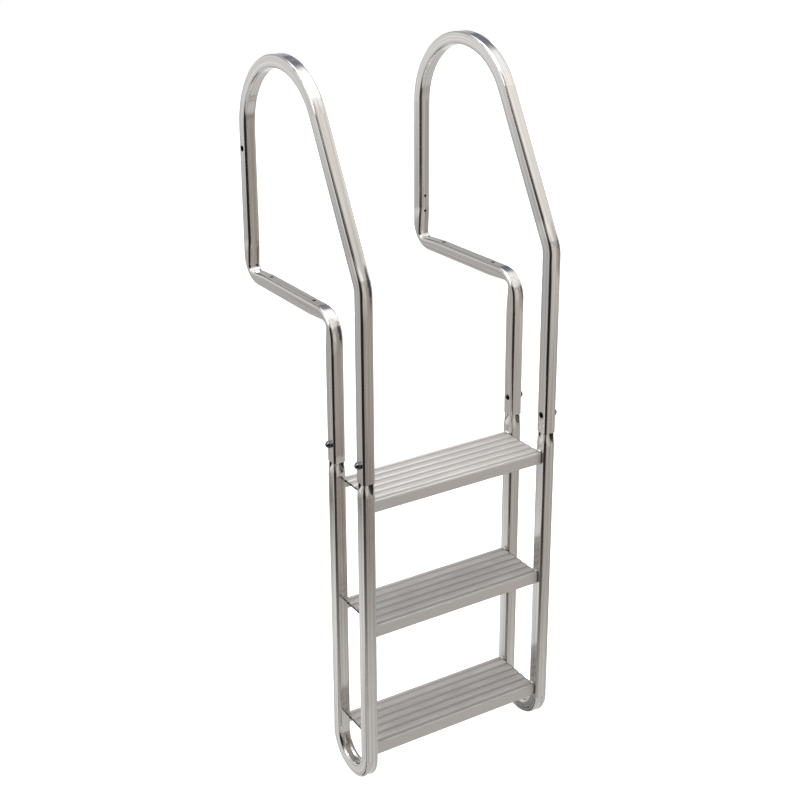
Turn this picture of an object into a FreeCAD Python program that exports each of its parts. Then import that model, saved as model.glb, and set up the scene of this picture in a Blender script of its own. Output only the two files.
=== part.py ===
import FreeCAD, Part
import math
import os

# Dock ladder, millimetres. +X is right for a climber facing the dock, +Y runs from
# the water towards the dock, +Z is up. The origin lies on the underside of the left
# handrail's deck base, midway between its two screw holes.

Vector = FreeCAD.Vector

# Square tube with rounded corners
TUBE = 30.0
WALL = 2.0
CORNER = 5.5
HALF = TUBE / 2.0

# The two side frames
FRAME_SPACING = 474.0
LEG_SPACING = 118.0
FRONT_LEG_Y = -294.35
REAR_LEG_Y = FRONT_LEG_Y + LEG_SPACING
RISER_Y = 189.05

# Heights from the deck
BASE_Z = HALF
RAIL_END_Z = -314.8
KNEE_Z = 113.4
LOOP_BOTTOM_Z = -1077.6
TREAD_TOP_Z = -361.9
TREAD_PITCH = 304.8

# Large bends, on the tube's centre line, and the level run between the loop's two
KNEE_RADIUS = 60.0
INCLINE_ANGLE = 26.6
ARCH_RADIUS = 169.2
LOOP_FLOOR = 2.0
LOOP_RADIUS = (LEG_SPACING - LOOP_FLOOR) / 2.0

# Hollows that bending draws into the inner and outer wall of the loop's bends
DISH_DEPTH = 2.5
DISH_WIDTH = 17.0

# Tight bends, where the press flattens the tube from its inner side
BEND_OUTER_RADIUS = 62.0
CRUSH_DEPTH = 7.0
CRUSH_REACH = 62.0
CRUSH_RADIUS = 12.0
CRUSH_EASE = 90.0

# Swaged upper ends of the leg loops, pressed hollow on each side to slide into the handrails
SLIDE_GAP = 0.25
SWAGE = TUBE - 2.0 * WALL - 2.0 * SLIDE_GAP
SWAGE_CORNER = 2.6
SWAGE_HOLLOW = 46.0
SWAGE_TAPER = 31.0
SWAGE_LENGTH = 82.0

# Joint bolts and cap nuts
JOINT_RISE = 42.5
BOLT_RADIUS = 4.76
BOLT_HOLE_RADIUS = 5.0
ACCESS_RADIUS = 7.15
HEAD_FLATS = 12.7
HEAD_HEIGHT = 5.5
NUT_FLATS = 15.9
NUT_HEX_HEIGHT = 5.5
NUT_DOME_RADIUS = 7.3
NUT_HEIGHT = 12.0
NUT_DEPTH = 7.5

# Holes of the handrails
DECK_HOLE_RADIUS = 4.4
DECK_HOLE_SPACING = 190.5
PORT_RADIUS = 7.15
PORT_Z = 314.5
RISER_PAIR_RADIUS = 3.5
RISER_PAIR_SPACING = 38.1
RISER_PAIR_Z = 110.4

# Ribbed tread extrusion, its edges past the centre lines of its front and rear legs
TREAD_FRONT_REACH = 5.5
TREAD_BACK_REACH = 6.5
TREAD_DEPTH = TREAD_FRONT_REACH + LEG_SPACING + TREAD_BACK_REACH
TREAD_SKIN = 2.4
TREAD_LIP = 27.0
NOSE_RADIUS = 4.0
FIRST_GROOVE = 11.4
LAST_GROOVE = 7.6
GROOVE_COUNT = 6
GROOVE_WIDTH = 12.6
GROOVE_DEPTH = 1.6

# Fillet welds along the tread's ends, one at each leg
WELD_LEG = 4.0
WELD_MARGIN = 0.5

LEFT_X = 0.0
RIGHT_X = FRAME_SPACING
JOINT_Z = RAIL_END_Z + JOINT_RISE


def unit(a, b):
    """Direction from a to b in the YZ plane."""
    length = math.hypot(b[0] - a[0], b[1] - a[1])
    return (b[0] - a[0]) / length, (b[1] - a[1]) / length


def turn_sign(a, b, c):
    """+1 where the chain a, b, c turns to its left, -1 where it turns right."""
    u = unit(a, b)
    v = unit(b, c)
    return 1.0 if u[0] * v[1] - u[1] * v[0] > 0 else -1.0


def offset_chain(points, radii, distance):
    """The chain moved to its left by a distance, bend radii following."""
    moved = []
    lines = []
    for a, b in zip(points[:-1], points[1:]):
        u = unit(a, b)
        lines.append(((a[0] - u[1] * distance, a[1] + u[0] * distance), u))
    moved.append(lines[0][0])
    new_radii = []
    for index in range(1, len(points) - 1):
        (p, u), (q, v) = lines[index - 1], lines[index]
        cross = u[0] * v[1] - u[1] * v[0]
        t = ((q[0] - p[0]) * v[1] - (q[1] - p[1]) * v[0]) / cross
        moved.append((p[0] + u[0] * t, p[1] + u[1] * t))
        sign = turn_sign(points[index - 1], points[index], points[index + 1])
        new_radii.append(radii[index - 1] - sign * distance)
    end, u = points[-1], lines[-1][1]
    moved.append((end[0] - u[1] * distance, end[1] + u[0] * distance))
    return moved, new_radii


def chain_edges(points, radii, x):
    """Straight lines joined by tangent arcs, in the plane of constant x."""
    edges = []
    cursor = points[0]
    for index in range(1, len(points) - 1):
        corner = points[index]
        u = unit(points[index - 1], corner)
        v = unit(corner, points[index + 1])
        turn = math.acos(max(-1.0, min(1.0, u[0] * v[0] + u[1] * v[1])))
        reach = radii[index - 1] * math.tan(turn / 2.0)
        start = (corner[0] - u[0] * reach, corner[1] - u[1] * reach)
        end = (corner[0] + v[0] * reach, corner[1] + v[1] * reach)
        sag = radii[index - 1] * (1.0 / math.cos(turn / 2.0) - 1.0)
        inward = (v[0] - u[0], v[1] - u[1])
        size = math.hypot(*inward)
        middle = (corner[0] + inward[0] / size * sag, corner[1] + inward[1] / size * sag)
        edges.append(Part.makeLine(Vector(x, *cursor), Vector(x, *start)))
        edges.append(Part.Arc(Vector(x, *start), Vector(x, *middle), Vector(x, *end)).toShape())
        cursor = end
    edges.append(Part.makeLine(Vector(x, *cursor), Vector(x, *points[-1])))
    return edges


def crushed(before, corner, after, radius):
    """Vertices and radii of a pressed inner corner, dented towards the outer side."""
    u = unit(before, corner)
    v = unit(corner, after)
    bisector = (u[0] - v[0], u[1] - v[1])
    size = math.hypot(*bisector)
    dent = (corner[0] + bisector[0] / size * CRUSH_DEPTH, corner[1] + bisector[1] / size * CRUSH_DEPTH)
    start = (corner[0] - u[0] * CRUSH_REACH, corner[1] - u[1] * CRUSH_REACH)
    end = (corner[0] + v[0] * CRUSH_REACH, corner[1] + v[1] * CRUSH_REACH)
    return [start, dent, end], [CRUSH_EASE, radius, CRUSH_EASE]


def tube_solid(x, left, right, width, corner):
    """Solid between two chains, as wide as the tube, its long edges rounded."""
    ends = [
        Part.makeLine(Vector(x, *left[0][-1]), Vector(x, *right[0][-1])),
        Part.makeLine(Vector(x, *right[0][0]), Vector(x, *left[0][0])),
    ]
    outline = chain_edges(*left, x) + [ends[0]] + chain_edges(*right, x)[::-1] + [ends[1]]
    face = Part.Face(Part.Wire(Part.__sortEdges__(outline)))
    face.translate(Vector(-width / 2.0, 0, 0))
    block = face.extrude(Vector(width, 0, 0))
    end_points = [Vector(0, *p) for p in (left[0][0], left[0][-1], right[0][0], right[0][-1])]
    long_edges = []
    for edge in block.Edges:
        points = [v.Point for v in edge.Vertexes]
        across = abs(points[0].x - points[-1].x) > 0.001
        touching = 0
        for p in points:
            if any((Vector(0, p.y, p.z) - q).Length < 0.001 for q in end_points):
                touching += 1
        if not across and touching < 2:
            long_edges.append(edge)
    return block.makeFillet(corner, long_edges)


def extended(points, extra):
    """The chain with both ends run on, so that a cut leaves the tube open."""
    first = unit(points[1], points[0])
    last = unit(points[-2], points[-1])
    start = (points[0][0] + first[0] * extra, points[0][1] + first[1] * extra)
    end = (points[-1][0] + last[0] * extra, points[-1][1] + last[1] * extra)
    return [start] + points[1:-1] + [end]


def hollow_tube(x, left, right):
    """Outer solid less the bore, which keeps the wall along every bend."""
    outer = tube_solid(x, left, right, TUBE, CORNER)
    bore_left = offset_chain(*left, -WALL)
    bore_right = offset_chain(*right, WALL)
    bore_left = (extended(bore_left[0], WALL), bore_left[1])
    bore_right = (extended(bore_right[0], WALL), bore_right[1])
    bore = tube_solid(x, bore_left, bore_right, TUBE - 2.0 * WALL, CORNER - WALL)
    return outer.cut(bore)


def handrail_chains():
    """Water side and dock side outlines of the bent handrail tube."""
    apex_z = KNEE_Z + (RISER_Y - FRONT_LEG_Y) / math.tan(math.radians(INCLINE_ANGLE))
    centre = [
        (FRONT_LEG_Y, RAIL_END_Z),
        (FRONT_LEG_Y, KNEE_Z),
        (RISER_Y, apex_z),
        (RISER_Y, BASE_Z),
        (REAR_LEG_Y, BASE_Z),
        (REAR_LEG_Y, RAIL_END_Z),
    ]
    bends = [KNEE_RADIUS, ARCH_RADIUS, BEND_OUTER_RADIUS - HALF, BEND_OUTER_RADIUS - HALF]
    left, left_radii = offset_chain(centre, bends, HALF)
    right, right_radii = offset_chain(centre, bends, -HALF)
    toe, toe_radii = crushed(left[3], left[4], left[5], CRUSH_RADIUS)
    heel, heel_radii = crushed(right[2], right[3], right[4], CRUSH_RADIUS)
    left = left[:4] + toe + left[5:]
    left_radii = left_radii[:3] + toe_radii
    right = right[:3] + heel + right[4:]
    right_radii = right_radii[:2] + heel_radii + right_radii[3:]
    return (left, left_radii), (right, right_radii)


def drill(centre, axis, radius, length):
    return Part.makeCylinder(radius, length, centre - axis * (length / 2.0), axis)


def joint_points(x):
    return [Vector(x, FRONT_LEG_Y, JOINT_Z), Vector(x, REAR_LEG_Y, JOINT_Z)]


def handrail(x, outward):
    """One bent tube with its joint, deck, riser and accessory holes."""
    left, right = handrail_chains()
    tube = hollow_tube(x, left, right)
    side = Vector(outward, 0, 0)
    holes = []
    for centre in joint_points(x):
        holes.append(drill(centre + side * HALF, side, BOLT_HOLE_RADIUS, TUBE * 0.6))
        holes.append(drill(centre - side * HALF, side, ACCESS_RADIUS, TUBE * 0.6))
    for y in (-DECK_HOLE_SPACING / 2.0, DECK_HOLE_SPACING / 2.0):
        holes.append(drill(Vector(x, y, BASE_Z), Vector(0, 0, 1), DECK_HOLE_RADIUS, TUBE * 1.4))
    port = Vector(x + outward * HALF, RISER_Y, PORT_Z)
    holes.append(drill(port, side, PORT_RADIUS, TUBE * 0.6))
    if outward > 0:
        for dz in (-RISER_PAIR_SPACING / 2.0, RISER_PAIR_SPACING / 2.0):
            at = Vector(x, RISER_Y - HALF, RISER_PAIR_Z + dz)
            holes.append(drill(at, Vector(0, 1, 0), RISER_PAIR_RADIUS, TUBE * 0.6))
    for hole in holes:
        tube = tube.cut(hole)
    return tube


def hollow_waist(flat, corner, hollow):
    """Distance from the tube's axis to the middle of a side that is drawn in."""
    return corner + flat * (1.0 - math.tan(math.radians(hollow) / 2.0))


def square_section(size, corner, hollow, origin):
    """Closed wire of a level square: rounded corners, sides drawn in to an angle in degrees."""
    flat = size / 2.0 - corner
    waist = hollow_waist(flat, corner, hollow)

    def at(turn, reach, hub=origin):
        return hub + Vector(math.cos(math.radians(turn)), math.sin(math.radians(turn)), 0) * reach

    arcs = []
    for turn in (0.0, 90.0, 180.0, 270.0):
        hub = at(turn + 45.0, flat * math.sqrt(2.0))
        start = at(turn - hollow, corner, hub)
        end = at(turn + 90.0 + hollow, corner, hub)
        arcs.append((Part.Arc(start, at(turn + 45.0, corner, hub), end).toShape(), start, end))
    edges = []
    for index, (arc, start, end) in enumerate(arcs):
        follower = arcs[(index + 1) % 4][1]
        edges.append(arc)
        if hollow:
            edges.append(Part.Arc(end, at(index * 90.0 + 90.0, waist), follower).toShape())
        else:
            edges.append(Part.makeLine(end, follower))
    return Part.Wire(edges)


def swaged_end(x, y, inset):
    """Eased taper from the leg to its reduced end, drawn in by inset for the bore."""
    foot = Vector(x, y, RAIL_END_Z - SWAGE_TAPER)
    sections = []
    for share, ease in ((0.0, 0.0), (0.3, 0.28), (0.72, 0.88), (1.0, 1.0)):
        size = TUBE + (SWAGE - TUBE) * ease - 2.0 * inset
        corner = CORNER + (SWAGE_CORNER - CORNER) * ease - inset
        origin = foot + Vector(0, 0, SWAGE_TAPER * share)
        sections.append(square_section(size, corner, SWAGE_HOLLOW * ease, origin))
    neck = Part.Face(sections[-1]).extrude(Vector(0, 0, SWAGE_LENGTH))
    return [Part.makeLoft(sections, True, False), neck]


def bend_dishes(x, grown):
    """Half rings that hollow the inner and the outer wall at the foot of the loop."""
    radius = (DISH_WIDTH * DISH_WIDTH / 4.0 + DISH_DEPTH * DISH_DEPTH) / (2.0 * DISH_DEPTH)
    middle = (FRONT_LEG_Y + REAR_LEG_Y) / 2.0
    height = LOOP_BOTTOM_Z + HALF + LEG_SPACING / 2.0
    rings = []
    for reach, side in ((LEG_SPACING / 2.0 - HALF, -1.0), (LEG_SPACING / 2.0 + HALF, 1.0)):
        hub = Vector(x, middle, height + side * DISH_DEPTH)
        ring = Part.makeTorus(reach + side * radius, radius + grown, hub, Vector(1, 0, 0))
        size = 4.0 * (reach + radius)
        below = Part.makeBox(TUBE * 2.0, size, size, hub - Vector(TUBE, size / 2.0, size))
        rings.append(ring.common(below))
    return rings


def leg_loop(x, outward):
    """U-shaped tube whose two upper ends are swaged."""
    top = RAIL_END_Z - SWAGE_TAPER
    bottom = LOOP_BOTTOM_Z + HALF
    centre = [(FRONT_LEG_Y, top), (FRONT_LEG_Y, bottom), (REAR_LEG_Y, bottom), (REAR_LEG_Y, top)]
    bends = [LOOP_RADIUS, LOOP_RADIUS]
    solids = []
    for inset in (0.0, WALL):
        left = offset_chain(centre, bends, HALF - inset)
        right = offset_chain(centre, bends, inset - HALF)
        body = tube_solid(x, left, right, TUBE - 2.0 * inset, CORNER - inset)
        for dish in bend_dishes(x, inset):
            body = body.cut(dish)
        pieces = []
        for y in (FRONT_LEG_Y, REAR_LEG_Y):
            pieces += swaged_end(x, y, inset)
        solids.append(body.multiFuse(pieces))
    tube = solids[0].cut(solids[1])
    side = Vector(outward, 0, 0)
    for hole in joint_points(x):
        tube = tube.cut(drill(hole + side * HALF, side, BOLT_HOLE_RADIUS, TUBE * 0.8))
        tube = tube.cut(drill(hole - side * HALF, side, ACCESS_RADIUS, TUBE * 0.8))
    return tube.removeSplitter()


def tread(crest):
    """Channel extrusion, open underneath, with hollow grooves between its flat ribs."""
    x = LEFT_X + HALF
    front = FRONT_LEG_Y - TREAD_FRONT_REACH
    back = REAR_LEG_Y + TREAD_BACK_REACH
    under = crest - GROOVE_DEPTH - TREAD_SKIN
    low = crest - TREAD_LIP

    def at(y, z):
        return Vector(x, y, z)

    rim = [
        at(back, crest),
        at(back, low),
        at(back - TREAD_SKIN, low),
        at(back - TREAD_SKIN, under),
        at(front + TREAD_SKIN, under),
        at(front + TREAD_SKIN, low),
        at(front, low),
        at(front, crest - NOSE_RADIUS),
    ]
    edges = [Part.makeLine(a, b) for a, b in zip(rim[:-1], rim[1:])]
    step = NOSE_RADIUS * (1.0 - math.sqrt(0.5))
    cursor = at(front + NOSE_RADIUS, crest)
    edges.append(Part.Arc(rim[-1], at(front + step, crest - step), cursor).toShape())
    pitch = (TREAD_DEPTH - FIRST_GROOVE - LAST_GROOVE) / (GROOVE_COUNT - 1)
    for index in range(GROOVE_COUNT):
        y = front + FIRST_GROOVE + index * pitch
        near = at(y - GROOVE_WIDTH / 2.0, crest)
        far = at(y + GROOVE_WIDTH / 2.0, crest)
        edges.append(Part.makeLine(cursor, near))
        edges.append(Part.Arc(near, at(y, crest - GROOVE_DEPTH), far).toShape())
        cursor = far
    edges.append(Part.makeLine(cursor, rim[0]))
    section = Part.Face(Part.Wire(Part.__sortEdges__(edges)))
    return section.extrude(Vector(FRAME_SPACING - TUBE, 0, 0))


def weld_bead(x, inward, y, crest, board):
    """Convex fillet bead in the corner between a tread's top and a leg's flat inner face."""
    front = FRONT_LEG_Y - TREAD_FRONT_REACH
    low = max(y - HALF + CORNER, front) + WELD_MARGIN + WELD_LEG
    high = min(y + HALF - CORNER, REAR_LEG_Y + TREAD_BACK_REACH) - WELD_MARGIN - WELD_LEG
    start = Vector(x, low, crest)
    end = Vector(x, high, crest)
    bead = Part.makeCylinder(WELD_LEG, high - low, start, Vector(0, 1, 0))
    bead = bead.fuse(Part.makeSphere(WELD_LEG, start)).fuse(Part.makeSphere(WELD_LEG, end))
    corner = Vector(min(x, x + inward * TUBE), low - TUBE, crest - GROOVE_DEPTH)
    room = Part.makeBox(TUBE, high - low + 2.0 * TUBE, TUBE, corner)
    return bead.common(room).cut(board)


def hexagon(centre, reach, flats):
    """Hexagonal prism along X with one corner pointing up."""
    radius = flats / math.sqrt(3.0)
    points = []
    for index in range(7):
        a = math.radians(90.0 + 60.0 * index)
        points.append(centre + Vector(0, radius * math.cos(a), radius * math.sin(a)))
    return Part.Face(Part.makePolygon(points)).extrude(Vector(reach, 0, 0))


def head_seat():
    """Distance from the joint's axis at which the head meets the leg's inner wall."""
    return hollow_waist(SWAGE / 2.0 - SWAGE_CORNER, SWAGE_CORNER, SWAGE_HOLLOW) - WALL


def joint_bolt(centre, outward):
    """Hex bolt whose head bears inside the leg and whose end is in the cap nut."""
    side = Vector(outward, 0, 0)
    seat = centre + side * head_seat()
    head = hexagon(seat, -outward * HEAD_HEIGHT, HEAD_FLATS)
    shank = Part.makeCylinder(BOLT_RADIUS, HALF - head_seat() + NUT_DEPTH, seat, side)
    return head.fuse(shank)


def cap_nut(centre, outward):
    """Hexagonal cap nut with a domed crown, seated on the handrail's outer face."""
    side = Vector(outward, 0, 0)
    seat = centre + side * HALF
    body = hexagon(seat, outward * NUT_HEX_HEIGHT, NUT_FLATS)
    crown = Part.makeSphere(NUT_DOME_RADIUS, seat + side * (NUT_HEIGHT - NUT_DOME_RADIUS))
    keep = Part.makeCylinder(NUT_DOME_RADIUS * 2.0, NUT_HEIGHT, seat, side)
    nut = body.fuse(crown.common(keep))
    return nut.cut(Part.makeCylinder(BOLT_RADIUS, NUT_DEPTH, seat, side))


os.makedirs("parts", exist_ok=True)
nodes = {}
for name, x, outward in (("left", LEFT_X, -1), ("right", RIGHT_X, 1)):
    nodes[name + "_handrail"] = handrail(x, outward)
    nodes[name + "_leg_loop"] = leg_loop(x, outward)
    for place, centre in zip(("front", "rear"), joint_points(x)):
        nodes[name + "_" + place + "_joint_bolt"] = joint_bolt(centre, outward)
        nodes[name + "_" + place + "_cap_nut"] = cap_nut(centre, outward)
for index, name in enumerate(("upper", "middle", "lower")):
    crest = TREAD_TOP_Z - index * TREAD_PITCH
    board = tread(crest)
    nodes[name + "_tread"] = board
    for side, x, inward in (("left", LEFT_X + HALF, 1.0), ("right", RIGHT_X - HALF, -1.0)):
        for place, y in (("front", FRONT_LEG_Y), ("rear", REAR_LEG_Y)):
            nodes["_".join((name, side, place, "weld"))] = weld_bead(x, inward, y, crest, board)
for name, shape in nodes.items():
    shape.exportStep("parts/" + name + ".step")
    print(name, len(shape.Solids), shape.isValid(), round(shape.Volume))
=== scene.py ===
import bpy
import math
from mathutils import Matrix, Vector

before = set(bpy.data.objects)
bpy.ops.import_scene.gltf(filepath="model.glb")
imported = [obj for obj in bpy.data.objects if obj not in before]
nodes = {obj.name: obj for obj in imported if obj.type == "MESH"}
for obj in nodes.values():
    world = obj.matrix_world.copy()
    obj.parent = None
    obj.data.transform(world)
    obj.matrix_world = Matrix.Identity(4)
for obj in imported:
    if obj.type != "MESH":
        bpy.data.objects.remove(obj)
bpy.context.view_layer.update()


# Handrails: two bent lengths of 30 mm square aluminium tube. They were extruded, polished,
# bent on a rotary bender and anodised clear, which gives a bright satin mirror with fine
# lines that run along the tube through every bend.
def linear(code):
    channels = [int(code[i:i + 2], 16) / 255.0 for i in (1, 3, 5)]
    return [c / 12.92 if c <= 0.04045 else ((c + 0.055) / 1.055) ** 2.4 for c in channels] + [1.0]


def add(tree, kind, settings=None, inputs=None):
    node = tree.nodes.new(kind)
    for key, value in (settings or {}).items():
        setattr(node, key, value)
    for key, value in (inputs or {}).items():
        if isinstance(value, bpy.types.NodeSocket):
            tree.links.new(value, node.inputs[key])
        else:
            node.inputs[key].default_value = value
    return node


def new_material(name):
    material = bpy.data.materials.new(name)
    material.use_nodes = True
    material.node_tree.nodes.clear()
    return material, material.node_tree


def dress(names, material):
    for name in names:
        mesh = nodes[name].data
        mesh.materials.clear()
        mesh.materials.append(material)


RAIL_CORNER_Y = -0.29435
RAIL_RISER_Y = 0.18905
RAIL_KNEE_Z = 0.1134
RAIL_LEAN = math.radians(26.6)
ARCH_R = 0.1692
ARCH_Y = RAIL_RISER_Y - ARCH_R
ARCH_Z = RAIL_KNEE_Z + ((ARCH_Y - RAIL_CORNER_Y) * math.cos(RAIL_LEAN) - ARCH_R) / math.sin(RAIL_LEAN)


def rail_path(tree):
    """Place as across and along the bent tube, in metres, for a pattern that follows it."""
    place = add(tree, "ShaderNodeTexCoord").outputs["Object"]
    parts = add(tree, "ShaderNodeSeparateXYZ", {}, {0: place})
    x, y, z = parts.outputs
    upright = add(tree, "ShaderNodeCombineXYZ", {}, {0: x, 1: y, 2: z}).outputs[0]
    base = add(tree, "ShaderNodeCombineXYZ", {}, {0: x, 1: z, 2: y}).outputs[0]
    sine, cosine = math.sin(RAIL_LEAN), math.cos(RAIL_LEAN)
    across = add(tree, "ShaderNodeVectorMath", {"operation": "DOT_PRODUCT"}, {
        0: place, 1: (0, cosine, -sine)})
    along = add(tree, "ShaderNodeVectorMath", {"operation": "DOT_PRODUCT"}, {
        0: place, 1: (0, sine, cosine)})
    incline = add(tree, "ShaderNodeCombineXYZ", {}, {
        0: x, 1: across.outputs["Value"], 2: along.outputs["Value"]}).outputs[0]
    flat = add(tree, "ShaderNodeCombineXYZ", {}, {1: y, 2: z}).outputs[0]
    centre = (0.0, ARCH_Y, ARCH_Z)
    radius = add(tree, "ShaderNodeVectorMath", {"operation": "DISTANCE"}, {
        0: flat, 1: centre}).outputs["Value"]
    from_centre = add(tree, "ShaderNodeVectorMath", {"operation": "SUBTRACT"}, {
        0: flat, 1: centre}).outputs[0]
    arms = add(tree, "ShaderNodeSeparateXYZ", {}, {0: from_centre})
    angle = add(tree, "ShaderNodeMath", {"operation": "ARCTAN2"}, {
        0: arms.outputs[2], 1: arms.outputs[1]}).outputs[0]
    turned = add(tree, "ShaderNodeMath", {"operation": "MULTIPLY"}, {0: angle, 1: ARCH_R}).outputs[0]
    arch = add(tree, "ShaderNodeCombineXYZ", {}, {0: x, 1: radius, 2: turned}).outputs[0]
    line = RAIL_CORNER_Y * cosine - RAIL_KNEE_Z * sine
    on_incline = add(tree, "ShaderNodeMath", {"operation": "COMPARE"}, {
        0: across.outputs["Value"], 1: line, 2: 0.017}).outputs[0]
    above_knee = add(tree, "ShaderNodeMath", {"operation": "GREATER_THAN"}, {
        0: z, 1: RAIL_KNEE_Z}).outputs[0]
    on_incline = add(tree, "ShaderNodeMath", {"operation": "MULTIPLY"}, {
        0: on_incline, 1: above_knee}).outputs[0]
    ahead = add(tree, "ShaderNodeVectorMath", {"operation": "DOT_PRODUCT"}, {
        0: from_centre, 1: (0, sine, cosine)})
    in_arch = add(tree, "ShaderNodeMath", {"operation": "GREATER_THAN"}, {
        0: ahead.outputs["Value"], 1: 0.0}).outputs[0]
    over = add(tree, "ShaderNodeMath", {"operation": "GREATER_THAN"}, {0: z, 1: ARCH_Z}).outputs[0]
    in_arch = add(tree, "ShaderNodeMath", {"operation": "MULTIPLY"}, {0: in_arch, 1: over}).outputs[0]
    near_deck = add(tree, "ShaderNodeMath", {"operation": "COMPARE"}, {
        0: z, 1: 0.015, 2: 0.0152}).outputs[0]
    inboard = add(tree, "ShaderNodeMath", {"operation": "COMPARE"}, {0: y, 1: 0.006, 2: 0.16}).outputs[0]
    on_base = add(tree, "ShaderNodeMath", {"operation": "MULTIPLY"}, {0: near_deck, 1: inboard}).outputs[0]
    way = upright
    for mask, turn in ((on_incline, incline), (on_base, base), (in_arch, arch)):
        way = add(tree, "ShaderNodeMix", {"data_type": "VECTOR"}, {0: mask, 4: way, 5: turn}).outputs[1]
    return way


# Distance between the two handrails, and how strongly a bend has drawn its wall in:
# height gained per square of the distance from the middle
RAIL_SPACING = 0.474
WALL_HOLLOW = 9.0


def tube_metal(name, path, tint, gloss, bends):
    """Clear-anodised aluminium tube: drawn lines along the path, soft cloudy handling marks,
    and outer walls that each listed bend (y, z, reach) has drawn slightly hollow."""
    material, tree = new_material(name)
    way = path(tree)
    # Drawn lines, real pitch 0.3 to 1 mm, drawn here at 1.5 mm across and 150 mm along
    lines_place = add(tree, "ShaderNodeVectorMath", {"operation": "MULTIPLY"}, {
        0: way, 1: (670.0, 670.0, 6.7)})
    lines = add(tree, "ShaderNodeTexNoise", {}, {
        "Vector": lines_place.outputs[0], "Scale": 1.0, "Detail": 3.0, "Roughness": 0.55})
    # Broad waves of the extruded wall, 12 mm across and 300 mm along
    wave_place = add(tree, "ShaderNodeVectorMath", {"operation": "MULTIPLY"}, {
        0: way, 1: (85.0, 85.0, 3.4)})
    waves = add(tree, "ShaderNodeTexNoise", {}, {
        "Vector": wave_place.outputs[0], "Scale": 1.0, "Detail": 1.0})
    # Die bands of the extrusion, 4 to 8 mm across and 700 mm along
    band_place = add(tree, "ShaderNodeVectorMath", {"operation": "MULTIPLY"}, {
        0: way, 1: (190.0, 190.0, 1.4)})
    bands = add(tree, "ShaderNodeTexNoise", {}, {
        "Vector": band_place.outputs[0], "Scale": 1.0, "Detail": 2.0, "Roughness": 0.5})
    # Handling smudges of 30 to 60 mm
    place = add(tree, "ShaderNodeTexCoord").outputs["Object"]
    smudge = add(tree, "ShaderNodeTexNoise", {}, {
        "Vector": place, "Scale": 22.0, "Detail": 4.0, "Roughness": 0.6})
    rough_lines = add(tree, "ShaderNodeMapRange", {}, {
        0: lines.outputs[0], 1: 0.3, 2: 0.7, 3: gloss - 0.03, 4: gloss + 0.03})
    rough_smudge = add(tree, "ShaderNodeMapRange", {}, {
        0: smudge.outputs[0], 1: 0.35, 2: 0.7, 3: -0.015, 4: 0.03})
    rough = add(tree, "ShaderNodeMath", {"operation": "ADD"}, {
        0: rough_lines.outputs[0], 1: rough_smudge.outputs[0]})
    light, dark = tint
    streak = add(tree, "ShaderNodeMix", {}, {0: 0.6, 2: lines.outputs[0], 3: bands.outputs[0]})
    shade = add(tree, "ShaderNodeMapRange", {}, {0: streak.outputs[0], 1: 0.36, 2: 0.64, 3: 0.0, 4: 1.0})
    colour = add(tree, "ShaderNodeMix", {"data_type": "RGBA"}, {
        0: shade.outputs[0], 6: linear(dark), 7: linear(light)})
    x, y, z = add(tree, "ShaderNodeSeparateXYZ", {}, {0: place}).outputs
    on_right = add(tree, "ShaderNodeMath", {"operation": "GREATER_THAN"}, {0: x, 1: RAIL_SPACING / 2})
    shift = add(tree, "ShaderNodeMath", {"operation": "MULTIPLY"}, {
        0: on_right.outputs[0], 1: RAIL_SPACING})
    aside = add(tree, "ShaderNodeMath", {"operation": "SUBTRACT"}, {0: x, 1: shift.outputs[0]})
    aside = add(tree, "ShaderNodeMath", {"operation": "MULTIPLY"}, {
        0: aside.outputs[0], 1: aside.outputs[0]})
    sideways = add(tree, "ShaderNodeCombineXYZ", {}, {1: y, 2: z}).outputs[0]
    pulled = 0.0
    for bend_y, bend_z, reach in bends:
        away = add(tree, "ShaderNodeVectorMath", {"operation": "DISTANCE"}, {
            0: sideways, 1: (0.0, bend_y, bend_z)})
        near = add(tree, "ShaderNodeMapRange", {"interpolation_type": "SMOOTHSTEP"}, {
            0: away.outputs["Value"], 1: reach * 0.3, 2: reach, 3: WALL_HOLLOW, 4: 0.0})
        pulled = add(tree, "ShaderNodeMath", {"operation": "ADD"}, {
            0: pulled, 1: near.outputs[0]}).outputs[0]
    hollow = add(tree, "ShaderNodeMath", {"operation": "MULTIPLY"}, {0: aside.outputs[0], 1: pulled})
    hollow = add(tree, "ShaderNodeBump", {}, {
        "Strength": 1.0, "Distance": 1.0, "Height": hollow.outputs[0]})
    fine = add(tree, "ShaderNodeBump", {}, {
        "Strength": 0.1, "Distance": 0.0002, "Height": lines.outputs[0], "Normal": hollow.outputs[0]})
    broad = add(tree, "ShaderNodeBump", {}, {
        "Strength": 0.25, "Distance": 0.0006, "Height": waves.outputs[0], "Normal": fine.outputs[0]})
    shader = add(tree, "ShaderNodeBsdfPrincipled", {}, {
        "Base Color": colour.outputs[2], "Metallic": 1.0, "Roughness": rough.outputs[0],
        "Normal": broad.outputs[0]})
    add(tree, "ShaderNodeOutputMaterial", {}, {0: shader.outputs[0]})
    return material


rail_metal = tube_metal("clear_anodised_aluminium_rail", rail_path, ("#D9D7D5", "#C0BDBA"), 0.12,
                        ((-0.309, 0.113, 0.075), (-0.185, -0.02, 0.05), (0.174, 0.06, 0.045)))
dress([side + "_handrail" for side in ("left", "right")], rail_metal)


# Leg loops: the same tube bent to a U. Their upper ends are swaged down to slide into the
# handrails, and the bends have drawn their walls a little hollow.
LOOP_Y = -0.23535
LOOP_Z = -1.0036
LOOP_R = 0.059


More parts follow.
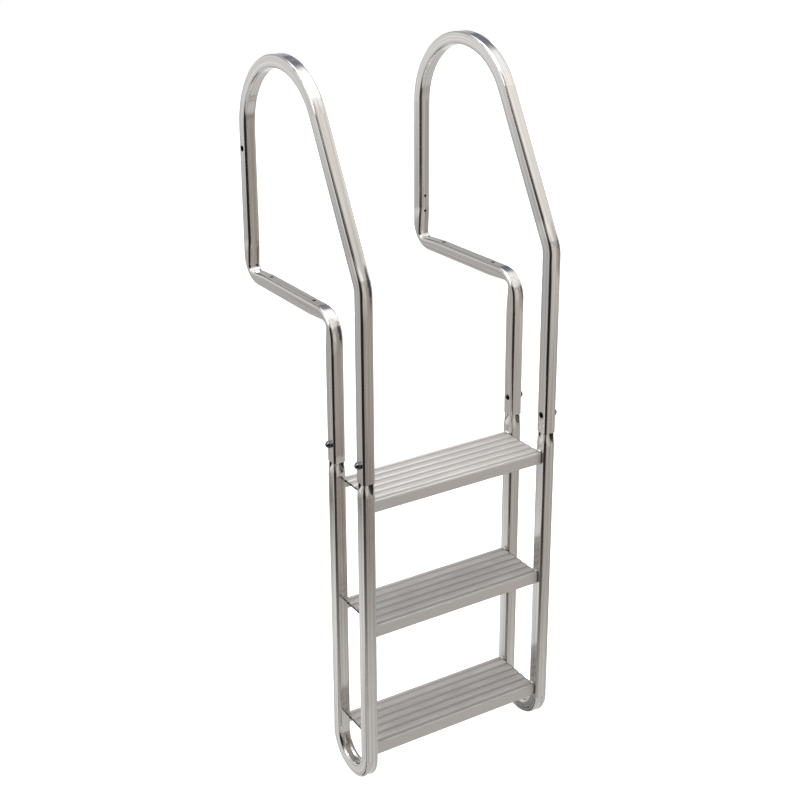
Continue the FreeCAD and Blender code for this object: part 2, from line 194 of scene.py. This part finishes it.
def loop_path(tree):
    place = add(tree, "ShaderNodeTexCoord").outputs["Object"]
    parts = add(tree, "ShaderNodeSeparateXYZ", {}, {0: place})
    x, y, z = parts.outputs
    upright = add(tree, "ShaderNodeCombineXYZ", {}, {0: x, 1: y, 2: z}).outputs[0]
    flat = add(tree, "ShaderNodeCombineXYZ", {}, {1: y, 2: z}).outputs[0]
    centre = (0.0, LOOP_Y, LOOP_Z)
    radius = add(tree, "ShaderNodeVectorMath", {"operation": "DISTANCE"}, {
        0: flat, 1: centre}).outputs["Value"]
    from_centre = add(tree, "ShaderNodeVectorMath", {"operation": "SUBTRACT"}, {
        0: flat, 1: centre}).outputs[0]
    arms = add(tree, "ShaderNodeSeparateXYZ", {}, {0: from_centre})
    angle = add(tree, "ShaderNodeMath", {"operation": "ARCTAN2"}, {
        0: arms.outputs[1], 1: arms.outputs[2]}).outputs[0]
    turned = add(tree, "ShaderNodeMath", {"operation": "MULTIPLY"}, {0: angle, 1: LOOP_R}).outputs[0]
    bend = add(tree, "ShaderNodeCombineXYZ", {}, {0: x, 1: radius, 2: turned}).outputs[0]
    below = add(tree, "ShaderNodeMath", {"operation": "LESS_THAN"}, {0: z, 1: LOOP_Z}).outputs[0]
    return add(tree, "ShaderNodeMix", {"data_type": "VECTOR"}, {0: below, 4: upright, 5: bend}).outputs[1]


leg_metal = tube_metal("clear_anodised_aluminium_leg", loop_path, ("#D8D6D3", "#BDBAB6"), 0.14, ())
dress([side + "_leg_loop" for side in ("left", "right")], leg_metal)


# Treads: ribbed channel extrusions in plain mill finish, duller than the tube. The groove
# floors carry painted shade, the lip faces and underside are painted lighter as lit faces,
# and a dark line is painted along the sawn ends for the dark reflection of their edges.
TREAD_TOP_Z = -0.3619
TREAD_PITCH = 0.3048
tread_metal, tree = new_material("mill_finish_aluminium_tread")
place = add(tree, "ShaderNodeTexCoord").outputs["Object"]
parts = add(tree, "ShaderNodeSeparateXYZ", {}, {0: place})
# Die lines, drawn at 1.2 mm across and 250 mm along the tread
die_place = add(tree, "ShaderNodeVectorMath", {"operation": "MULTIPLY"}, {0: place, 1: (4.0, 830.0, 830.0)})
die = add(tree, "ShaderNodeTexNoise", {}, {
    "Vector": die_place.outputs[0], "Scale": 1.0, "Detail": 3.0, "Roughness": 0.6})
# Oxide clouds of 20 to 40 mm, drawn out along the tread
cloud_place = add(tree, "ShaderNodeVectorMath", {"operation": "MULTIPLY"}, {
    0: place, 1: (14.0, 40.0, 40.0)})
cloud = add(tree, "ShaderNodeTexNoise", {}, {
    "Vector": cloud_place.outputs[0], "Scale": 1.0, "Detail": 5.0, "Roughness": 0.6})
# Depth below the top of its own tread, so that all three treads share the same painted shade and light
below = add(tree, "ShaderNodeMath", {"operation": "SUBTRACT"}, {0: TREAD_TOP_Z, 1: parts.outputs[2]})
below = add(tree, "ShaderNodeMath", {"operation": "ADD"}, {0: below.outputs[0], 1: 0.0005})
depth = add(tree, "ShaderNodeMath", {"operation": "MODULO"}, {0: below.outputs[0], 1: TREAD_PITCH})
groove = add(tree, "ShaderNodeMapRange", {"interpolation_type": "SMOOTHSTEP"}, {
    0: depth.outputs[0], 1: 0.0006, 2: 0.0019, 3: 0.0, 4: 1.0})
lip = add(tree, "ShaderNodeMath", {"operation": "GREATER_THAN"}, {0: depth.outputs[0], 1: 0.0023})
groove_floor_shade_mask = add(tree, "ShaderNodeMath", {"operation": "SUBTRACT", "use_clamp": True}, {
    0: groove.outputs[0], 1: lip.outputs[0]})
tone = add(tree, "ShaderNodeMapRange", {}, {0: cloud.outputs[0], 1: 0.3, 2: 0.7, 3: 0.0, 4: 1.0})
colour = add(tree, "ShaderNodeMix", {"data_type": "RGBA"}, {
    0: tone.outputs[0], 6: linear("#BAB7B4"), 7: linear("#C8C5C2")})
# Painted shade: the groove floors are coloured darker than the ribs
groove_shade_and_side_light = add(tree, "ShaderNodeMix", {"data_type": "RGBA"}, {
    0: groove_floor_shade_mask.outputs[0], 6: colour.outputs[2], 7: linear("#AEABA8")})
# Painted light: the lip faces and underside, deeper than 2.3 mm, are coloured lighter
groove_shade_and_side_light = add(tree, "ShaderNodeMix", {"data_type": "RGBA"}, {
    0: lip.outputs[0], 6: groove_shade_and_side_light.outputs[2], 7: linear("#E0DDDA")})
# Painted reflection: the last 2 mm of each sawn end is coloured nearly black for the dark that the edge
# mirrors
far_out = add(tree, "ShaderNodeMath", {"operation": "SUBTRACT"}, {0: parts.outputs[0], 1: RAIL_SPACING / 2})
far_out = add(tree, "ShaderNodeMath", {"operation": "ABSOLUTE"}, {0: far_out.outputs[0]})
soot_and_painted_end_shade = add(tree, "ShaderNodeMapRange", {"interpolation_type": "SMOOTHSTEP"}, {
    0: far_out.outputs[0], 1: 0.2192, 2: 0.2214, 3: 0.0, 4: 0.85})
end_reflection_painted = add(tree, "ShaderNodeMix", {"data_type": "RGBA"}, {
    0: soot_and_painted_end_shade.outputs[0], 6: groove_shade_and_side_light.outputs[2], 7: linear("#3F3936")})
rough = add(tree, "ShaderNodeMapRange", {}, {0: die.outputs[0], 1: 0.3, 2: 0.7, 3: 0.56, 4: 0.68})
relief = add(tree, "ShaderNodeBump", {}, {"Strength": 0.3, "Distance": 0.0003, "Height": die.outputs[0]})
shader = add(tree, "ShaderNodeBsdfPrincipled", {}, {
    "Base Color": end_reflection_painted.outputs[2], "Metallic": 1.0, "Roughness": rough.outputs[0],
    "Normal": relief.outputs[0]})
add(tree, "ShaderNodeOutputMaterial", {}, {0: shader.outputs[0]})
dress([level + "_tread" for level in ("upper", "middle", "lower")], tread_metal)


# Weld beads: aluminium filler run by hand between tread and leg, blotched between bright
# metal and dull oxide and soot, in ripples about 1.5 mm apart.
weld_metal, tree = new_material("aluminium_weld_filler")
place = add(tree, "ShaderNodeTexCoord").outputs["Object"]
wave_form = {"wave_type": "BANDS", "bands_direction": "Y", "wave_profile": "SIN"}
ripple = add(tree, "ShaderNodeTexWave", wave_form, {
    "Vector": place, "Scale": 105.0, "Distortion": 1.5, "Detail": 2.0, "Detail Scale": 2.0})
soot_and_painted_end_shade = add(tree, "ShaderNodeTexNoise", {}, {"Vector": place, "Scale": 260.0, "Detail": 4.0})
tone = add(tree, "ShaderNodeMapRange", {}, {0: soot_and_painted_end_shade.outputs[0], 1: 0.35, 2: 0.65, 3: 0.0, 4: 1.0})
colour = add(tree, "ShaderNodeMix", {"data_type": "RGBA"}, {
    0: tone.outputs[0], 6: linear("#A9A6A2"), 7: linear("#CFCDC9")})
rough = add(tree, "ShaderNodeMapRange", {}, {0: ripple.outputs["Fac"], 3: 0.45, 4: 0.25})
relief = add(tree, "ShaderNodeBump", {}, {
    "Strength": 0.8, "Distance": 0.0006, "Height": ripple.outputs["Fac"]})
shader = add(tree, "ShaderNodeBsdfPrincipled", {}, {
    "Base Color": colour.outputs[2], "Metallic": 1.0, "Roughness": rough.outputs[0],
    "Normal": relief.outputs[0]})
add(tree, "ShaderNodeOutputMaterial", {}, {0: shader.outputs[0]})
dress([name for name in nodes if name.endswith("_weld")], weld_metal)


# Joint bolts and cap nuts: 3/8 inch stainless bolts whose heads bear inside the legs, and
# drawn stainless cap nuts polished to a mirror, with a dark reflection painted into their colour.
nut_metal, tree = new_material("polished_stainless_cap_nut_painted_dark")
place = add(tree, "ShaderNodeTexCoord").outputs["Object"]
wear = add(tree, "ShaderNodeTexNoise", {}, {"Vector": place, "Scale": 400.0, "Detail": 3.0})
rough = add(tree, "ShaderNodeMapRange", {}, {0: wear.outputs[0], 1: 0.35, 2: 0.7, 3: 0.05, 4: 0.1})
# The base colour is painted dark: it stands for the dark surroundings that the mirror-polished nuts reflect
shader = add(tree, "ShaderNodeBsdfPrincipled", {}, {
    "Base Color": linear("#606064"), "Metallic": 1.0, "Roughness": rough.outputs[0]})
add(tree, "ShaderNodeOutputMaterial", {}, {0: shader.outputs[0]})
dress([name for name in nodes if name.endswith("_cap_nut")], nut_metal)

bolt_metal, tree = new_material("plain_stainless_bolt")
place = add(tree, "ShaderNodeTexCoord").outputs["Object"]
grain = add(tree, "ShaderNodeTexNoise", {}, {"Vector": place, "Scale": 900.0, "Detail": 3.0})
tone = add(tree, "ShaderNodeMapRange", {}, {0: grain.outputs[0], 1: 0.35, 2: 0.65, 3: 0.0, 4: 1.0})
colour = add(tree, "ShaderNodeMix", {"data_type": "RGBA"}, {
    0: tone.outputs[0], 6: linear("#8E8E90"), 7: linear("#A6A6A8")})
relief = add(tree, "ShaderNodeBump", {}, {"Strength": 0.2, "Distance": 0.0001, "Height": grain.outputs[0]})
shader = add(tree, "ShaderNodeBsdfPrincipled", {}, {
    "Base Color": colour.outputs[2], "Metallic": 1.0, "Roughness": 0.32, "Normal": relief.outputs[0]})
add(tree, "ShaderNodeOutputMaterial", {}, {0: shader.outputs[0]})
dress([name for name in nodes if name.endswith("_joint_bolt")], bolt_metal)


# Studio: a pale floor well below the ladder, and a pale room with a bright ceiling, soft
# boxes above and on the left, and a dark side behind the camera.
floor_mesh = bpy.data.meshes.new("studio_floor")
reach, drop = 12.0, -1.7
floor_mesh.from_pydata(
    [(-reach, -reach, drop), (reach, -reach, drop), (reach, reach, drop), (-reach, reach, drop)],
    [], [(0, 1, 2, 3)])
floor = bpy.data.objects.new("studio_floor", floor_mesh)
bpy.context.scene.collection.objects.link(floor)
floor_paint, tree = new_material("white_studio_floor")
soft = add(tree, "ShaderNodeBsdfDiffuse", {}, {"Color": linear("#E8E8E8")})
glow = add(tree, "ShaderNodeEmission", {}, {"Color": (1, 1, 1, 1), "Strength": 0.62})
both = add(tree, "ShaderNodeAddShader", {}, {0: soft.outputs[0], 1: glow.outputs[0]})
add(tree, "ShaderNodeOutputMaterial", {}, {0: both.outputs[0]})
floor_mesh.materials.append(floor_paint)
floor.visible_glossy = False
floor.visible_diffuse = False

world = bpy.data.worlds.new("studio_room")
bpy.context.scene.world = world
world.use_nodes = True
tree = world.node_tree
tree.nodes.clear()
way = add(tree, "ShaderNodeTexCoord").outputs["Generated"]
way = add(tree, "ShaderNodeVectorMath", {"operation": "NORMALIZE"}, {0: way}).outputs[0]
parts = add(tree, "ShaderNodeSeparateXYZ", {}, {0: way})
left = add(tree, "ShaderNodeMath", {"operation": "MULTIPLY"}, {0: parts.outputs[0], 1: -1.0})
ahead = add(tree, "ShaderNodeMath", {"operation": "MULTIPLY"}, {0: parts.outputs[1], 1: -1.0})
turn = add(tree, "ShaderNodeMath", {"operation": "ARCTAN2"}, {0: left.outputs[0], 1: ahead.outputs[0]})
turn = add(tree, "ShaderNodeMath", {"operation": "DEGREES"}, {0: turn.outputs[0]}).outputs[0]
rise = add(tree, "ShaderNodeMath", {"operation": "ARCSINE"}, {0: parts.outputs[2]})
rise = add(tree, "ShaderNodeMath", {"operation": "DEGREES"}, {0: rise.outputs[0]}).outputs[0]


def patch(tree, turn, rise, start, end, low, high, edge):
    """Soft-edged mask between two sideways angles and two heights."""
    half = edge / 2.0
    mask = 1.0
    for value, first, last in ((turn, start, end), (rise, low, high)):
        rising = add(tree, "ShaderNodeMapRange", {"interpolation_type": "SMOOTHSTEP"}, {
            0: value, 1: first - half, 2: first + half})
        falling = add(tree, "ShaderNodeMapRange", {"interpolation_type": "SMOOTHSTEP"}, {
            0: value, 1: last - half, 2: last + half, 3: 1.0, 4: 0.0})
        both = add(tree, "ShaderNodeMath", {"operation": "MULTIPLY"}, {
            0: rising.outputs[0], 1: falling.outputs[0]})
        mask = add(tree, "ShaderNodeMath", {"operation": "MULTIPLY"}, {
            0: mask, 1: both.outputs[0]}).outputs[0]
    return mask


room = None
# Each panel: colour, strength, then where it starts and ends sideways (degrees from the
# water side towards the left) and upwards, and the width of its soft edge.
panels = [
    ("#FFFFFF", 0.57, -400, 400, -100, 100, 10),
    ("#FFFEFC", 0.76, -400, 400, -100, -33, 4),
    ("#FFFFFF", 1.00, 118, 146, -60, -27, 5),
    ("#FFFFFF", 1.00, 146, 262, -60, -31, 5),
    ("#FFFDFB", 0.61, 92, 262, -26, -15, 7),
    ("#FFFFFF", 1.08, 108, 262, -12, 6, 12),
    ("#FFFFFF", 1.25, 90, 136, 4, 42, 16),
    ("#FFFFFF", 0.90, 132, 172, -2, 26, 16),
    ("#FFF6EC", 0.50, -36, -8, -33, 20, 6),
    ("#FFF0E4", 0.36, -36, -20, -31, -26, 4),
    ("#FFFAF4", 0.60, -78, -36, -33, 12, 6),
    ("#FFFAF4", 0.84, -78, -37, -20, 14, 6),
    ("#FFFAF4", 0.62, -44, -24, 12, 24, 8),
    ("#FFFBF5", 1.06, -44, -26, 27, 47, 8),
    ("#FFFCF8", 1.32, -95, -42, 19, 47, 8),
    ("#FFF8EE", 0.34, -16, 12, -14, 36, 14),
    ("#DDE0FF", 0.12, -22, 10, -20, 33, 8),
    ("#DDE0FF", 0.14, -26, -18, 8, 33, 6),
    ("#FFF8F0", 0.78, -24, 62, 36, 46, 8),
    ("#FFF0E2", 0.26, 62, 94, -32, 6, 18),
    ("#FFEDDC", 0.03, -14, 108, -34, -4, 8),
    ("#FFEDDC", 0.04, -2, 82, -10, 32, 10),
    ("#FFF4E8", 0.06, 114, 146, -60, -35.2, 1.6),
    ("#DDE0FF", 0.03, 146, 164, -28.9, -27.8, 1.0),
    ("#DDE0FF", 0.30, -153, -128, 22, 33, 7),
    ("#DDE0FF", 0.34, -144, -104, 31, 48, 7),
    ("#FFFFFF", 1.62, -400, 400, 52.5, 120, 7),
    ("#FFFFFF", 1.50, 58, 112, 30, 60, 12),
    ("#FFFFFF", 7.00, 74, 104, 40, 60, 8),
    ("#FFFFFF", 1.30, -104, -36, 43, 56, 8),
]
for code, strength, start, end, low, high, edge in panels:
    level = [c * strength for c in linear(code)[:3]] + [1.0]
    if room is None:
        room = add(tree, "ShaderNodeRGB").outputs[0]
        room.default_value = level
        continue
    mask = patch(tree, turn, rise, start, end, low, high, edge)
    room = add(tree, "ShaderNodeMix", {"data_type": "RGBA"}, {0: mask, 6: room, 7: level}).outputs[2]
paths = add(tree, "ShaderNodeLightPath").outputs
# Metal facing away from the camera mirrors the same white backdrop that the camera sees
behind = patch(tree, turn, rise, -172, -130, -38, 4, 8)
mirrored = add(tree, "ShaderNodeMath", {"operation": "MAXIMUM"}, {
    0: paths["Is Glossy Ray"], 1: paths["Is Transmission Ray"]})
mirrored = add(tree, "ShaderNodeMath", {"operation": "MULTIPLY"}, {0: mirrored.outputs[0], 1: behind})
seen = add(tree, "ShaderNodeMath", {"operation": "MAXIMUM"}, {
    0: paths["Is Camera Ray"], 1: mirrored.outputs[0]}).outputs[0]
light = add(tree, "ShaderNodeMix", {"data_type": "RGBA"}, {0: seen, 6: room, 7: (1, 1, 1, 1)})
backdrop = add(tree, "ShaderNodeBackground", {}, {0: light.outputs[2], 1: 1.0})
add(tree, "ShaderNodeOutputWorld", {}, {0: backdrop.outputs[0]})

overhead = bpy.data.lights.new("overhead_soft_box", "AREA")
overhead.shape = "RECTANGLE"
overhead.size = 1.1
overhead.size_y = 0.7
overhead.energy = 4.4
overhead.spread = math.radians(80.0)
overhead_object = bpy.data.objects.new("overhead_soft_box", overhead)
overhead_object.location = (0.1, -0.2, 1.3)
bpy.context.scene.collection.objects.link(overhead_object)

key = bpy.data.lights.new("left_key_lamp", "AREA")
key.size = 0.6
key.energy = 5.0
key_object = bpy.data.objects.new("left_key_lamp", key)
key_object.location = (-1.9, -0.75, 1.7)
towards_ladder = Vector((0.0, -0.24, -0.3)) - key_object.location
key_object.rotation_euler = towards_ladder.to_track_quat("-Z", "Y").to_euler()
bpy.context.scene.collection.objects.link(key_object)

scene = bpy.context.scene
scene.view_settings.view_transform = "Standard"
# Camera fitted to the photo: focal length in pixels, and the pixel that its axis meets
PICTURE = 800.0
FOCAL = 1285.85
AXIS_X, AXIS_Y = 203.57, 254.30
lens = bpy.data.cameras.new("photo_camera")
lens.sensor_width = 36.0
lens.lens = FOCAL / PICTURE * lens.sensor_width
lens.shift_x = (PICTURE / 2 - AXIS_X) / PICTURE
lens.shift_y = (AXIS_Y - PICTURE / 2) / PICTURE
lens.clip_end = 60.0
yaw, pitch, roll = (math.radians(a) for a in (24.59, 17.32, -2.99))
forward = Vector((math.sin(yaw) * math.cos(pitch), math.cos(yaw) * math.cos(pitch), -math.sin(pitch)))
level_right = Vector((math.cos(yaw), -math.sin(yaw), 0.0))
level_up = level_right.cross(forward)
right = level_right * math.cos(roll) + level_up * math.sin(roll)
up = right.cross(forward)
camera = bpy.data.objects.new("photo_camera", lens)
camera.matrix_world = Matrix.LocRotScale(
    Vector((-1.29511, -2.36809, 0.9592)), Matrix((right, up, -forward)).transposed(), None)
scene.collection.objects.link(camera)
scene.camera = camera
